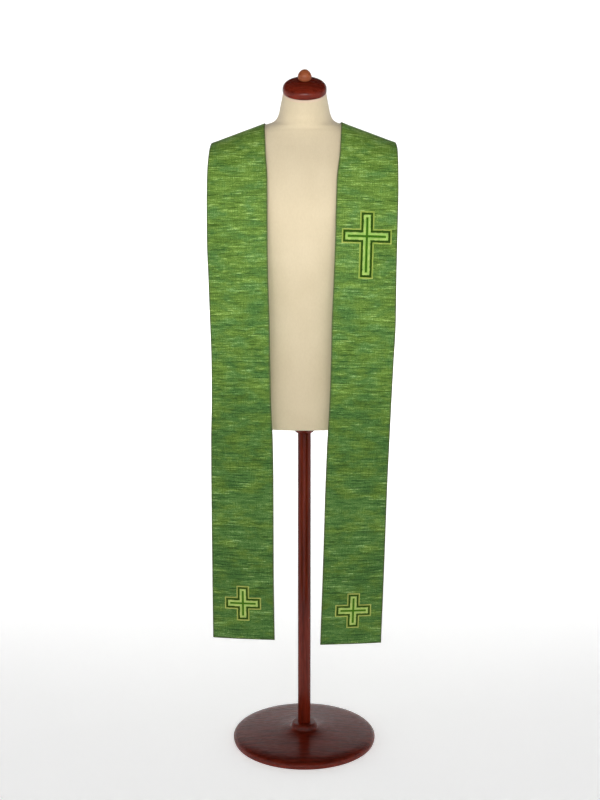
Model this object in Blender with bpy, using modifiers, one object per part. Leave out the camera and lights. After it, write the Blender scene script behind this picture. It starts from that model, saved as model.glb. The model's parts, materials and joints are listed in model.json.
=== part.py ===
"""A clerical stole of two straight-cut bands, worn on a limbless dress form with a turned stand.

Metres, +Z up. The form faces -Y, so the wearer's right side is at -X. The floor is Z = 0, and the
stand's axis is the Z axis. Each band is one closed wall: it hangs in front, folds over the shoulder
line and runs slanting down the back to a mitred seam at the middle. The wall's inner face follows
a drape, whose depth in front of and behind the shoulder line is set by height.
"""

import math
from bisect import bisect_right
from collections import namedtuple

import bmesh
import bpy
from mathutils import Euler, Vector

# ---------------------------------------------------------------- driving dimensions

CLOTH_WALL = 0.0024  # face cloth, interlining and backing pressed together
SEAM_GAP = 0.0003  # between pieces that meet
RIDGE_X = 0.093  # where the shoulder line leaves the neck
RIDGE_HEIGHT = 1.6237
RIDGE_FALL = math.radians(20.1)
DRAPE_WIDE = 0.270  # half width up to which the drape follows the shoulder line
DRAPE_SIDE = 0.070  # how much wider it grows below that
COLUMNS = 10  # quads across a band
FRONT_ROWS = 34
BACK_ROWS = 16
PATH_STEPS = 160  # fine steps along a column before it is divided into rows
RIDGE_ROUNDS = 8  # rounds that bring a point onto the shoulder line
ROW_CROWDING = 1.45  # above 1, rows crowd towards the shoulder line
WEFT_TURNS = 0.84  # share of the front up to which the rows keep level with the hem
SEAM_TOP = 1.5100  # the mitred seam at the middle of the back
SEAM_BOTTOM = 1.2950

# ---------------------------------------------------------------- tables

# How far the cloth stands in front of and behind the shoulder line, at the middle of the body.
Drape = namedtuple("Drape", "height front back")
DRAPE = (
    Drape(1.660, 0.0560, 0.0600),
    Drape(1.6046, 0.0710, 0.0760),
    Drape(1.5863, 0.0820, 0.0880),
    Drape(1.5550, 0.0990, 0.1050),
    Drape(1.5300, 0.1120, 0.1140),
    Drape(1.4800, 0.1310, 0.1240),
    Drape(1.4200, 0.1430, 0.1270),
    Drape(1.3400, 0.1490, 0.1280),
    Drape(1.2000, 0.1500, 0.1285),
    Drape(0.3000, 0.1500, 0.1285),
)

# Edges of each band's front as it hangs: distance of the inner and outer edge from the middle, how
# far the outer edge is pushed forward, and how much of the drape's roundness the cloth keeps.
Edge = namedtuple("Edge", "height inner outer outer_push crown")
RIGHT_FRONT = (
    Edge(1.630, 0.0975, 0.2300, 0.000, 1.00),
    Edge(1.560, 0.0940, 0.2318, 0.000, 1.00),
    Edge(1.488, 0.0892, 0.2360, 0.000, 1.00),
    Edge(1.345, 0.0888, 0.2368, 0.000, 0.90),
    Edge(1.250, 0.0876, 0.2342, 0.002, 0.75),
    Edge(1.150, 0.0850, 0.2318, 0.000, 0.60),
    Edge(1.050, 0.0836, 0.2297, -0.006, 0.50),
    Edge(0.950, 0.0820, 0.2303, -0.006, 0.45),
    Edge(0.850, 0.0778, 0.2330, -0.003, 0.42),
    Edge(0.740, 0.0767, 0.2337, 0.000, 0.40),
    Edge(0.530, 0.0770, 0.2340, 0.004, 0.40),
    Edge(0.330, 0.0752, 0.2337, 0.006, 0.40),
)
LEFT_FRONT = (
    Edge(1.630, 0.0895, 0.2262, 0.000, 1.00),
    Edge(1.560, 0.0850, 0.2262, 0.000, 1.00),
    Edge(1.488, 0.0765, 0.2262, 0.000, 1.00),
    Edge(1.345, 0.0727, 0.2240, 0.004, 0.90),
    Edge(1.250, 0.0697, 0.2227, 0.012, 0.75),
    Edge(1.150, 0.0657, 0.2222, 0.018, 0.60),
    Edge(1.050, 0.0640, 0.2182, 0.014, 0.50),
    Edge(0.950, 0.0610, 0.2145, 0.008, 0.45),
    Edge(0.850, 0.0555, 0.2110, 0.005, 0.42),
    Edge(0.740, 0.0514, 0.2072, 0.002, 0.40),
    Edge(0.530, 0.0459, 0.2022, -0.002, 0.40),
    Edge(0.325, 0.0396, 0.1964, -0.004, 0.40),
)

# side is -1 for the wearer's right band and 1 for the left one.
Cut = namedtuple("Cut", "name side edges hem_inner hem_outer")
BANDS = (
    Cut("band_right", -1, RIGHT_FRONT, 0.3360, 0.3310),
    Cut("band_left", 1, LEFT_FRONT, 0.3240, 0.3180),
)

# Outline of the padded form, from its underside to its neck. lean is how far a section rises from
# front to back, and roundness is the power of its superellipse.
Section = namedtuple("Section", "height half_width front back middle lean roundness")
FORM = (
    Section(0.8700, 0.1560, 0.1000, 0.1090, 0.000, 0.00, 2.30),
    Section(0.8730, 0.1660, 0.1090, 0.1180, 0.000, 0.00, 2.30),
    Section(0.8820, 0.1710, 0.1130, 0.1220, 0.000, 0.00, 2.30),
    Section(0.9500, 0.1750, 0.1160, 0.1240, 0.000, 0.00, 2.30),
    Section(1.0400, 0.1670, 0.1110, 0.1140, 0.000, 0.00, 2.30),
    Section(1.1500, 0.1500, 0.1050, 0.0980, 0.000, 0.00, 2.30),
    Section(1.2500, 0.1590, 0.1150, 0.1020, 0.000, 0.00, 2.35),
    Section(1.3400, 0.1770, 0.1300, 0.1120, 0.000, 0.00, 2.40),
    Section(1.4200, 0.1920, 0.1370, 0.1190, 0.000, 0.00, 2.40),
    Section(1.4800, 0.2050, 0.1250, 0.1170, 0.000, 0.00, 2.30),
    Section(1.5290, 0.2165, 0.1060, 0.1070, 0.000, 0.00, 2.15),
    Section(1.5545, 0.2205, 0.0925, 0.0970, 0.000, 0.00, 2.05),
    Section(1.5725, 0.2125, 0.0820, 0.0870, 0.000, 0.00, 2.00),
    Section(1.5842, 0.1970, 0.0760, 0.0810, 0.000, 0.00, 2.00),
    Section(1.5933, 0.1728, 0.0715, 0.0760, 0.000, 0.00, 2.00),
    Section(1.6025, 0.1482, 0.0680, 0.0720, 0.000, 0.00, 2.00),
    Section(1.6116, 0.1232, 0.0655, 0.0690, 0.000, 0.02, 2.00),
    Section(1.6208, 0.0965, 0.0640, 0.0660, -0.002, 0.05, 2.00),
    Section(1.6264, 0.0790, 0.0630, 0.0640, -0.004, 0.08, 2.00),
    Section(1.6330, 0.0700, 0.0613, 0.0622, -0.006, 0.12, 2.00),
    Section(1.6450, 0.0638, 0.0588, 0.0596, -0.009, 0.20, 2.00),
    Section(1.6620, 0.0598, 0.0560, 0.0552, -0.014, 0.32, 2.00),
    Section(1.6820, 0.0556, 0.0516, 0.0510, -0.018, 0.42, 2.00),
    Section(1.6984, 0.0530, 0.0484, 0.0484, -0.019, 0.4452, 2.00),
)
FORM_AROUND = 40  # faces round the form
FORM_STEPS = 2  # rings between one section and the next

CAP_TILT = math.atan(FORM[-1].lean)
CAP_RADIUS = 0.0541
KNOB_RADIUS = 0.0170
POLE_RADIUS = 0.0170
POLE_SIDES = 24
BASE_RADIUS = 0.1900
BASE_THICK = 0.0300

# Profiles of the turned pieces, radius and height above the piece's own seat, outer side first.
Turn = namedtuple("Turn", "radius height")
CAP_PROFILE = (
    Turn(0.0000, 0.0300),
    Turn(0.0180, 0.0292),
    Turn(0.0340, 0.0266),
    Turn(0.0440, 0.0229),
    Turn(0.0503, 0.0179),
    Turn(0.0535, 0.0118),
    Turn(CAP_RADIUS, 0.0056),
    Turn(0.0537, 0.0013),
    Turn(0.0515, 0.0000),
    Turn(0.0000, 0.0000),
)
KNOB_PROFILE = (
    Turn(0.0000, 0.0264),
    Turn(0.0060, 0.0252),
    Turn(0.0108, 0.0216),
    Turn(0.0146, 0.0164),
    Turn(0.0166, 0.0108),
    Turn(KNOB_RADIUS, 0.0070),
    Turn(0.0160, 0.0034),
    Turn(0.0138, 0.0012),
    Turn(0.0124, 0.0000),
    Turn(0.0000, 0.0000),
)
COLLAR_PROFILE = (
    Turn(0.0000, 0.0240),
    Turn(0.0520, 0.0240),
    Turn(0.0540, 0.0215),
    Turn(0.0520, 0.0170),
    Turn(0.0350, 0.0110),
    Turn(0.0240, 0.0020),
    Turn(0.0230, 0.0000),
    Turn(0.0000, 0.0000),
)
BASE_PROFILE = (
    Turn(0.0000, 0.0480),
    Turn(0.0290, 0.0480),
    Turn(0.0330, 0.0445),
    Turn(0.0360, 0.0350),
    Turn(0.0600, BASE_THICK),
    Turn(0.1710, 0.0215),
    Turn(0.1850, 0.0180),
    Turn(BASE_RADIUS, 0.0110),
    Turn(0.1890, 0.0030),
    Turn(0.1860, 0.0000),
    Turn(0.0000, 0.0000),
)
TURNED_SIDES = 32

# Applied crosses: the band they lie on, the middle of the crossing (from the band's inner edge and
# up from its hem), and the reach of the arms from there.
Cross = namedtuple("Cross", "name band across up side_arm top_arm foot_arm half_bar")
CROSSES = (
    Cross("cross_chest", "band_left", 0.0790, 1.0360, 0.0630, 0.0600, 0.1020, 0.0180),
    Cross("cross_hem_right", "band_right", 0.0790, 0.0960, 0.0460, 0.0460, 0.0460, 0.0160),
    Cross("cross_hem_left", "band_left", 0.0810, 0.0900, 0.0460, 0.0460, 0.0460, 0.0160),
)
RIM_WIDE = 0.0040
RIM_SLOPE = 0.0015
RIM_THICK = 0.0017
FIELD_THICK = 0.0009
CROSS_STEP = 0.0150  # longest side of a face on a cross
SAME_PLACE = 1e-6  # lengths closer than this are one


# ---------------------------------------------------------------- curves through tables


def lerp(a, b, share):
    return a + (b - a) * share


def smooth_step(t):
    t = min(max(t, 0.0), 1.0)
    return t * t * (3 - 2 * t)


def smooth_table(places, values):
    """A curve through the values that never overshoots them (monotone cubic)."""
    spans = [b - a for a, b in zip(places, places[1:])]
    slopes = [(b - a) / h for a, b, h in zip(values, values[1:], spans)]
    bends = [slopes[0]]
    for left, right, h0, h1 in zip(slopes, slopes[1:], spans, spans[1:]):
        if left * right <= 0:
            bends.append(0.0)
            continue
        w0, w1 = 2 * h1 + h0, h1 + 2 * h0
        bends.append((w0 + w1) / (w0 / left + w1 / right))
    bends.append(slopes[-1])

    def at(place):
        place = min(max(place, places[0]), places[-1])
        i = min(bisect_right(places, place) - 1, len(spans) - 1)
        t = (place - places[i]) / spans[i]
        start_bend = t * (1 - t) ** 2 * bends[i]
        end_bend = t * t * (1 - t) * bends[i + 1]
        return lerp(values[i], values[i + 1], smooth_step(t)) + (start_bend - end_bend) * spans[i]

    return at


def by_height(rows, column):
    """One column of a table of rows as a curve over height."""
    ordered = sorted(rows, key=lambda row: row.height)
    return smooth_table([r.height for r in ordered], [getattr(r, column) for r in ordered])


# ---------------------------------------------------------------- the drape


def ridge_height(x):
    return RIDGE_HEIGHT - (x - RIDGE_X) * math.tan(RIDGE_FALL)


def drape_half_width(height):
    reach = RIDGE_X + (RIDGE_HEIGHT - height) / math.tan(RIDGE_FALL)
    if reach <= DRAPE_WIDE:
        return reach
    return DRAPE_WIDE + DRAPE_SIDE * (1 - math.exp((DRAPE_WIDE - reach) / DRAPE_SIDE))


def drape_share(x, height):
    """1 at the middle of the body, falling to 0 at the shoulder line."""
    return math.sqrt(max(0.0, 1 - (x / drape_half_width(height)) ** 2))


front_depth = by_height(DRAPE, "front")
back_depth = by_height(DRAPE, "back")


class Band:
    """The inner face of one band, as rows of points from the hem to the seam at the back."""

    def __init__(self, cut):
        self.side = cut.side
        self.cut = cut
        self.inner, self.outer, self.push, self.crown = (
            by_height(cut.edges, column) for column in ("inner", "outer", "outer_push", "crown")
        )
        shares = [i / COLUMNS for i in range(COLUMNS + 1)]
        fronts = [self.front_path(share) for share in shares]
        mean = sum(lengths_of(path)[-1] for path in fronts) / len(fronts)
        columns = []
        for share, path in zip(shares, fronts):
            columns.append(self.front_rows(path, mean) + self.back_rows(share))
        self.rows = [list(row) for row in zip(*columns)]
        self.normals = [[self.normal(r, c) for c in range(COLUMNS + 1)] for r in range(len(self.rows))]
        self.along = lengths_of([row[COLUMNS // 2] for row in self.rows])

    def front_point(self, share, height):
        inner, outer = self.inner(height), self.outer(height)
        x = lerp(inner, outer, share)
        arc = front_depth(height) * drape_share(x, height)
        crown = self.crown(height)
        if crown < 1:
            ends = [front_depth(height) * drape_share(e, height) for e in (inner, outer)]
            arc = lerp(lerp(*ends, share), arc, crown)
        return Vector((self.side * x, -arc - self.push(height) * share, height))

    def ridge_point(self, share):
        height = RIDGE_HEIGHT
        for _ in range(RIDGE_ROUNDS):
            x = lerp(self.inner(height), self.outer(height), share)
            height = ridge_height(x)
        return x, height

    def front_path(self, share):
        """Fine points of one lengthwise line, from the hem to the shoulder line."""
        _, top = self.ridge_point(share)
        hem = lerp(self.cut.hem_inner, self.cut.hem_outer, share)
        path = []
        for i in range(PATH_STEPS + 1):
            drop = (top - hem) * (1 - i / PATH_STEPS) ** 2
            path.append(self.front_point(share, top - drop))
        return path

    def front_rows(self, path, mean):
        """The path's points by distance from the hem, so that rows run straight across the cloth."""
        length = lengths_of(path)[-1]
        shares = []
        for i in range(FRONT_ROWS + 1):
            share = 1 - (1 - i / FRONT_ROWS) ** ROW_CROWDING
            turned = smooth_step((share - WEFT_TURNS) / (1 - WEFT_TURNS))
            shares.append((mean * share + (length - mean) * turned) / length)
        return divided(path, shares)

    def back_rows(self, share):
        """Points from just past the shoulder line, slanting down the back to the seam."""
        x, top = self.ridge_point(share)
        seam = lerp(SEAM_TOP, SEAM_BOTTOM, share)
        path = []
        for i in range(PATH_STEPS + 1):
            done = (i / PATH_STEPS) ** 2
            px, height = lerp(x, SEAM_GAP / 2, done), lerp(top, seam, done)
            path.append(Vector((self.side * px, back_depth(height) * drape_share(px, height), height)))
        return divided(path, [i / BACK_ROWS for i in range(1, BACK_ROWS + 1)])

    def normal(self, row, column):
        """Outward direction of the cloth at one point."""
        rows = self.rows
        along = rows[min(row + 1, len(rows) - 1)][column] - rows[max(row - 1, 0)][column]
        across = rows[row][min(column + 1, COLUMNS)] - rows[row][max(column - 1, 0)]
        return (across.cross(along) * self.side).normalized()

    def above(self, across, up, rise):
        """The point at a share of the width and a distance up from the hem, a rise off the cloth."""
        row = min(bisect_right(self.along, up) - 1, len(self.along) - 2)
        r = (up - self.along[row]) / (self.along[row + 1] - self.along[row])
        column = min(int(across * COLUMNS), COLUMNS - 1)
        c = across * COLUMNS - column

        def mixed(grid):
            low = lerp(grid[row][column], grid[row][column + 1], c)
            return lerp(low, lerp(grid[row + 1][column], grid[row + 1][column + 1], c), r)

        return mixed(self.rows) + mixed(self.normals).normalized() * rise

    def width(self):
        """Width of the cloth, halfway down the front."""
        return lengths_of(self.rows[FRONT_ROWS // 2])[-1]


def lengths_of(path):
    """Distance along a path at each of its points."""
    lengths = [0.0]
    for a, b in zip(path, path[1:]):
        lengths.append(lengths[-1] + (b - a).length)
    return lengths


def divided(path, shares):
    """Points at shares of a path's length."""
    lengths = lengths_of(path)
    points = []
    for share in shares:
        target = share * lengths[-1]
        i = min(bisect_right(lengths, target) - 1, len(path) - 2)
        points.append(lerp(path[i], path[i + 1], (target - lengths[i]) / (lengths[i + 1] - lengths[i])))
    return points


# ---------------------------------------------------------------- scene helpers


def clear_scene():
    for obj in list(bpy.data.objects):
        bpy.data.objects.remove(obj)


def finish_for(name, colour, roughness, metallic=0.0):
    material = bpy.data.materials.new(name)
    material.use_nodes = True
    shader = material.node_tree.nodes["Principled BSDF"]
    shader.inputs["Base Color"].default_value = (*colour, 1.0)
    shader.inputs["Roughness"].default_value = roughness
    shader.inputs["Metallic"].default_value = metallic
    material.diffuse_color = (*colour, 1.0)
    return material


def add_object(name, bm, material, collection):
    mesh = bpy.data.meshes.new(name)
    bm.to_mesh(mesh)
    bm.free()
    mesh.materials.append(material)
    obj = bpy.data.objects.new(name, mesh)
    collection.objects.link(obj)
    return obj


# ---------------------------------------------------------------- pieces


def make_band(band, material, collection):
    """A grid laid on the band's points, thickened outwards."""
    last_row = len(band.rows) - 1
    bm = bmesh.new()
    bmesh.ops.create_grid(bm, x_segments=COLUMNS, y_segments=last_row, size=1.0)
    for vert in bm.verts:
        column = round((vert.co.x + 1) / 2 * COLUMNS)
        row = round((vert.co.y + 1) / 2 * last_row)
        vert.co = band.rows[row][column]
    if band.side < 0:
        bmesh.ops.reverse_faces(bm, faces=bm.faces)
    obj = add_object(band.cut.name, bm, material, collection)
    obj.data.shade_smooth()
    wall = obj.modifiers.new("cloth wall", "SOLIDIFY")
    wall.thickness = CLOTH_WALL
    wall.offset = 1.0
    wall.use_even_offset = True
    return obj


def level_marks(low, high, rims):
    """Grid lines from low to high, with lines where a rim's top and slope end."""
    marks = sorted({low, high, *rims})
    lines = [marks[0]]
    for mark in marks[1:]:
        gap = mark - lines[-1]
        if gap < SAME_PLACE:
            continue
        steps = max(1, math.ceil(gap / CROSS_STEP))
        start = lines[-1]
        lines += [start + gap * k / steps for k in range(1, steps + 1)]
    return lines


def inside_cross(x, y, cross, inset=0.0):
    """Whether a point lies in the cross, drawn in by inset all round."""
    edge = SAME_PLACE - inset
    in_upright = abs(x) <= cross.half_bar + edge and -cross.foot_arm - edge <= y <= cross.top_arm + edge
    in_bar = abs(x) <= cross.side_arm + edge and abs(y) <= cross.half_bar + edge
    return in_upright or in_bar


def make_cross(cross, band, material, collection):
    """A flat cross with a raised rim, laid on its band's outer face."""
    insets = (0.0, RIM_WIDE, RIM_WIDE + RIM_SLOPE)
    xs = [s * (end - i) for end in (cross.half_bar, cross.side_arm) for i in insets for s in (-1, 1)]
    ys = [s * (cross.half_bar - i) for i in insets for s in (-1, 1)]
    ys += [cross.top_arm - i for i in insets] + [i - cross.foot_arm for i in insets]
    xs = level_marks(-cross.side_arm, cross.side_arm, xs)
    ys = level_marks(-cross.foot_arm, cross.top_arm, ys)
    bm = bmesh.new()
    bmesh.ops.create_grid(bm, x_segments=len(xs) - 1, y_segments=len(ys) - 1, size=1.0)
    for vert in bm.verts:
        column = round((vert.co.x + 1) / 2 * (len(xs) - 1))
        row = round((vert.co.y + 1) / 2 * (len(ys) - 1))
        vert.co = (xs[column], ys[row], 0.0)
    outside = [f for f in bm.faces if not inside_cross(*f.calc_center_median().xy, cross)]
    bmesh.ops.delete(bm, geom=outside, context="FACES")
    made = bmesh.ops.extrude_face_region(bm, geom=list(bm.faces), use_keep_orig=True)
    for vert in (g for g in made["geom"] if isinstance(g, bmesh.types.BMVert)):
        in_field = inside_cross(vert.co.x, vert.co.y, cross, RIM_WIDE + RIM_SLOPE)
        vert.co.z = FIELD_THICK if in_field else RIM_THICK
    width = band.width()
    for vert in bm.verts:
        across = (cross.across + band.side * vert.co.x) / width
        rise = CLOTH_WALL + SEAM_GAP + vert.co.z
        vert.co = band.above(across, cross.up + vert.co.y, rise)
    bmesh.ops.recalc_face_normals(bm, faces=bm.faces)
    return add_object(cross.name, bm, material, collection)


def form_section(ring):
    """Section of the form at a ring between two rows of its table, evenly along its outline."""
    row, part = divmod(ring, FORM_STEPS)
    if part == 0:
        return FORM[row]
    return Section(*(curve(row + part / FORM_STEPS) for curve in form_curves))


form_curves = [smooth_table(list(range(len(FORM))), list(column)) for column in zip(*FORM)]


def make_form(material, collection):
    """The padded body and neck: a sphere whose rings are moved out to the table's sections."""
    rings = (len(FORM) - 1) * FORM_STEPS + 1
    bm = bmesh.new()
    bmesh.ops.create_uvsphere(bm, u_segments=FORM_AROUND, v_segments=rings + 1, radius=1.0)
    for vert in bm.verts:
        polar = math.acos(max(-1.0, min(1.0, -vert.co.z)))
        ring = round(polar / math.pi * (rings + 1)) - 1
        at_pole = ring in (-1, rings)
        section = form_section(min(max(ring, 0), rings - 1))
        angle = math.atan2(vert.co.y, vert.co.x)
        x, y = (0.0, 0.0) if at_pole else superellipse(angle, section)
        height = section.height + section.lean * y
        vert.co = (x, y + section.middle, height)
    obj = add_object("form_body", bm, material, collection)
    obj.data.shade_smooth()
    return obj


def superellipse(angle, section):
    power = 2 / section.roundness
    c, s = math.cos(angle), math.sin(angle)
    depth = section.back if s > 0 else section.front
    x = section.half_width * math.copysign(abs(c) ** power, c)
    return x, depth * math.copysign(abs(s) ** power, s)


def make_turned(name, profile, material, collection, location, tilt=0.0):
    """A turned piece: its profile, top to bottom on the outer side, screwed round its axis."""
    bm = bmesh.new()
    verts = [bm.verts.new((turn.radius, 0.0, turn.height)) for turn in profile]
    for a, b in zip(verts, verts[1:]):
        bm.edges.new((a, b))
    obj = add_object(name, bm, material, collection)
    obj.location = location
    obj.rotation_euler = Euler((tilt, 0.0, 0.0))
    screw = obj.modifiers.new("turning", "SCREW")
    screw.steps = TURNED_SIDES
    screw.render_steps = TURNED_SIDES
    screw.use_merge_vertices = True
    screw.merge_threshold = 0.00001
    screw.use_smooth_shade = True
    return obj


def make_pole(bottom, top, material, collection):
    bm = bmesh.new()
    bmesh.ops.create_cone(
        bm,
        cap_ends=True,
        segments=POLE_SIDES,
        radius1=POLE_RADIUS,
        radius2=POLE_RADIUS,
        depth=top - bottom,
    )
    obj = add_object("stand_pole", bm, material, collection)
    obj.location = (0.0, 0.0, (top + bottom) / 2)
    return obj


def main():
    clear_scene()
    collection = bpy.data.collections.new("clerical_stole")
    bpy.context.scene.collection.children.link(collection)
    cloth = finish_for("green_slub_cloth", (0.120, 0.245, 0.050), 0.62)
    stitching = finish_for("lime_embroidery", (0.330, 0.520, 0.090), 0.45)
    jersey = finish_for("cream_jersey", (0.760, 0.640, 0.450), 0.85)
    wood = finish_for("red_brown_wood", (0.130, 0.022, 0.012), 0.22)
    knob_wood = finish_for("light_brown_wood", (0.260, 0.075, 0.035), 0.30)

    bands = {cut.name: Band(cut) for cut in BANDS}
    for band in bands.values():
        make_band(band, cloth, collection)
    for cross in CROSSES:
        make_cross(cross, bands[cross.band], stitching, collection)

    make_form(jersey, collection)
    neck = FORM[-1]
    seat = Vector((0.0, neck.middle, neck.height))
    upright = Vector((0.0, -math.sin(CAP_TILT), math.cos(CAP_TILT)))
    cap_seat = seat + upright * SEAM_GAP
    knob_seat = cap_seat + upright * (CAP_PROFILE[0].height + SEAM_GAP)
    make_turned("neck_cap", CAP_PROFILE, wood, collection, cap_seat, CAP_TILT)
    make_turned("cap_knob", KNOB_PROFILE, knob_wood, collection, knob_seat, CAP_TILT)

    collar_seat = FORM[0].height - SEAM_GAP - COLLAR_PROFILE[0].height
    make_turned("stand_collar", COLLAR_PROFILE, wood, collection, (0.0, 0.0, collar_seat))
    make_turned("stand_base", BASE_PROFILE, wood, collection, (0.0, 0.0, 0.0))
    pole_bottom = BASE_PROFILE[0].height + SEAM_GAP
    make_pole(pole_bottom, collar_seat - SEAM_GAP, wood, collection)


main()
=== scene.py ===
"""Looks of a clerical stole worn on a limbless dress form.

Each band is a fine shell over its solid, with its flat cut as a UV map in metres, so that the slubbed
weave follows the cloth over the shoulder and down the back. The crosses are embroidered in relief,
stitch by stitch. The form's jersey cover and its turned, lacquered woodwork replace their solids.
"""

import json
import math
from bisect import bisect_right
from collections import namedtuple

import bmesh
import bpy
from mathutils import Euler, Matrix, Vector

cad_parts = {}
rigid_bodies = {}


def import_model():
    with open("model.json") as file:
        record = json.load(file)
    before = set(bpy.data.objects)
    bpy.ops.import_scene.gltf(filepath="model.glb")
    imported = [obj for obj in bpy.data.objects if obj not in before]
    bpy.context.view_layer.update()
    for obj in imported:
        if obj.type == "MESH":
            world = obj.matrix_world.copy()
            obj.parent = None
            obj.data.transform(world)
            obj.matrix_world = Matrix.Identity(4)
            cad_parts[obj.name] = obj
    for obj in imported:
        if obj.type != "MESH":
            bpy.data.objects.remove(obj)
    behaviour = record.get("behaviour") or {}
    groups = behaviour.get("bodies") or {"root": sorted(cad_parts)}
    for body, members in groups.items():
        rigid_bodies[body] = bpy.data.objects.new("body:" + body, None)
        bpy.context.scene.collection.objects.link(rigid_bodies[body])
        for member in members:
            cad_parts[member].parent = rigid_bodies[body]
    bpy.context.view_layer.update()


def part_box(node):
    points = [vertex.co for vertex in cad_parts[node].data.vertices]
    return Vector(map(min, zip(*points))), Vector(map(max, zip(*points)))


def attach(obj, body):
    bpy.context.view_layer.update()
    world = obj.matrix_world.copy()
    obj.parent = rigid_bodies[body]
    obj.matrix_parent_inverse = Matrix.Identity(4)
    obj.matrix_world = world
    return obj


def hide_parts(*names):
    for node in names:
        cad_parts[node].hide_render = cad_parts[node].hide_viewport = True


for startup_object in list(bpy.data.objects):
    bpy.data.objects.remove(startup_object)
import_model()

# ---------------------------------------------------------------- the stole's sizes

BAND_WIDTH = 0.157  # of the flat cut
WALL = 0.0022
EDGE_ROUND = 0.0009  # how much of the wall's edges is rounded off
EDGE_TURN = math.radians(50)  # the least turn that counts as an edge of the wall
SEAM_GAP = 0.0003  # between pieces that meet
RIDGE_X = 0.093  # where the shoulder line leaves the neck
RIDGE_HEIGHT = 1.6237
RIDGE_FALL = math.radians(20.1)
RIDGE_ROUNDS = 8  # rounds that bring a point onto the shoulder line
DRAPE_WIDE = 0.270  # half width up to which the drape follows the shoulder line
DRAPE_SIDE = 0.070  # how much wider it grows below that
SEAM_TOP = 1.5100  # the mitred seam at the middle of the back
SEAM_BOTTOM = 1.2950
LINES = 32  # lengthwise lines of the fine cloth, less one
PATH_STEPS = 200  # fine steps up the front of a line, and again down the back
LEVEL_ROWS = 250  # rows that run straight across, up to where the columns start to differ
LEVEL_LENGTH = 1.240
UPPER_ROWS = 84
FLAT_CUT = "flat_cut"

# How far the cloth stands in front of and behind the shoulder line, at the middle of the body.
Drape = namedtuple("Drape", "height front back")
DRAPE = (
    Drape(1.660, 0.0560, 0.0600),
    Drape(1.6046, 0.0710, 0.0760),
    Drape(1.5863, 0.0820, 0.0880),
    Drape(1.5550, 0.0990, 0.1050),
    Drape(1.5300, 0.1120, 0.1140),
    Drape(1.4800, 0.1310, 0.1240),
    Drape(1.4200, 0.1430, 0.1270),
    Drape(1.3400, 0.1490, 0.1280),
    Drape(1.2000, 0.1500, 0.1285),
    Drape(0.3000, 0.1500, 0.1285),
)

# The front edges as they hang: distance of the inner and outer edge from the middle, how far the
# outer edge is pushed forward, and how much of the drape's roundness the cloth keeps.
Edge = namedtuple("Edge", "height inner outer outer_push crown")
RIGHT_FRONT = (
    Edge(1.630, 0.0975, 0.2265, 0.000, 1.00),
    Edge(1.574, 0.0947, 0.2294, 0.000, 1.00),
    Edge(1.560, 0.0940, 0.2318, 0.000, 1.00),
    Edge(1.488, 0.0892, 0.2360, 0.000, 1.00),
    Edge(1.345, 0.0888, 0.2368, 0.000, 0.90),
    Edge(1.250, 0.0876, 0.2342, 0.002, 0.75),
    Edge(1.150, 0.0850, 0.2318, 0.000, 0.60),
    Edge(1.050, 0.0836, 0.2297, -0.006, 0.50),
    Edge(0.950, 0.0820, 0.2303, -0.006, 0.45),
    Edge(0.850, 0.0778, 0.2330, -0.003, 0.42),
    Edge(0.740, 0.0767, 0.2337, 0.000, 0.40),
    Edge(0.530, 0.0770, 0.2340, 0.004, 0.40),
    Edge(0.330, 0.0752, 0.2337, 0.006, 0.40),
)
LEFT_FRONT = (
    Edge(1.630, 0.0895, 0.2210, 0.000, 1.00),
    Edge(1.574, 0.0859, 0.2244, 0.000, 1.00),
    Edge(1.560, 0.0850, 0.2262, 0.000, 1.00),
    Edge(1.488, 0.0765, 0.2262, 0.000, 1.00),
    Edge(1.345, 0.0727, 0.2240, 0.004, 0.90),
    Edge(1.250, 0.0697, 0.2227, 0.012, 0.75),
    Edge(1.150, 0.0657, 0.2222, 0.018, 0.60),
    Edge(1.050, 0.0640, 0.2182, 0.014, 0.50),
    Edge(0.950, 0.0610, 0.2145, 0.008, 0.45),
    Edge(0.850, 0.0555, 0.2110, 0.005, 0.42),
    Edge(0.740, 0.0514, 0.2072, 0.002, 0.40),
    Edge(0.530, 0.0459, 0.2022, -0.002, 0.40),
    Edge(0.325, 0.0396, 0.1964, -0.004, 0.40),
)

# Soft troughs (depth above 0) and ridges (below 0) in the hanging cloth: their middle across and
# along the cut, their reach each way, and how far they lean outwards from end to end.
Crease = namedtuple("Crease", "across along half_wide half_long depth lean")
RIGHT_CREASES = (
    Crease(0.052, 1.130, 0.020, 0.150, 0.0010, 0.012),
    Crease(0.108, 0.960, 0.026, 0.210, 0.0014, -0.016),
    Crease(0.040, 0.700, 0.022, 0.260, 0.0011, 0.010),
    Crease(0.096, 0.520, 0.024, 0.170, -0.0009, 0.008),
    Crease(0.125, 0.270, 0.018, 0.220, 0.0010, -0.010),
    Crease(0.060, 0.180, 0.026, 0.150, -0.0008, 0.000),
    Crease(0.090, 1.520, 0.020, 0.080, 0.0006, 0.012),
)
LEFT_CREASES = (
    Crease(0.030, 1.180, 0.018, 0.120, 0.0008, 0.008),
    Crease(0.118, 0.880, 0.024, 0.190, 0.0015, 0.014),
    Crease(0.062, 0.760, 0.022, 0.230, -0.0010, -0.008),
    Crease(0.038, 0.470, 0.024, 0.200, 0.0012, 0.012),
    Crease(0.104, 0.380, 0.022, 0.260, 0.0010, -0.012),
    Crease(0.128, 0.150, 0.016, 0.120, -0.0007, 0.006),
    Crease(0.070, 1.500, 0.022, 0.070, 0.0006, -0.010),
)
TURNED_IN = 0.012  # width of the seam allowance inside each long edge
HEM_DEEP = 0.028
ALLOWANCE_RISE = 0.0003
ALLOWANCE_SOFT = 0.0035

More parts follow.
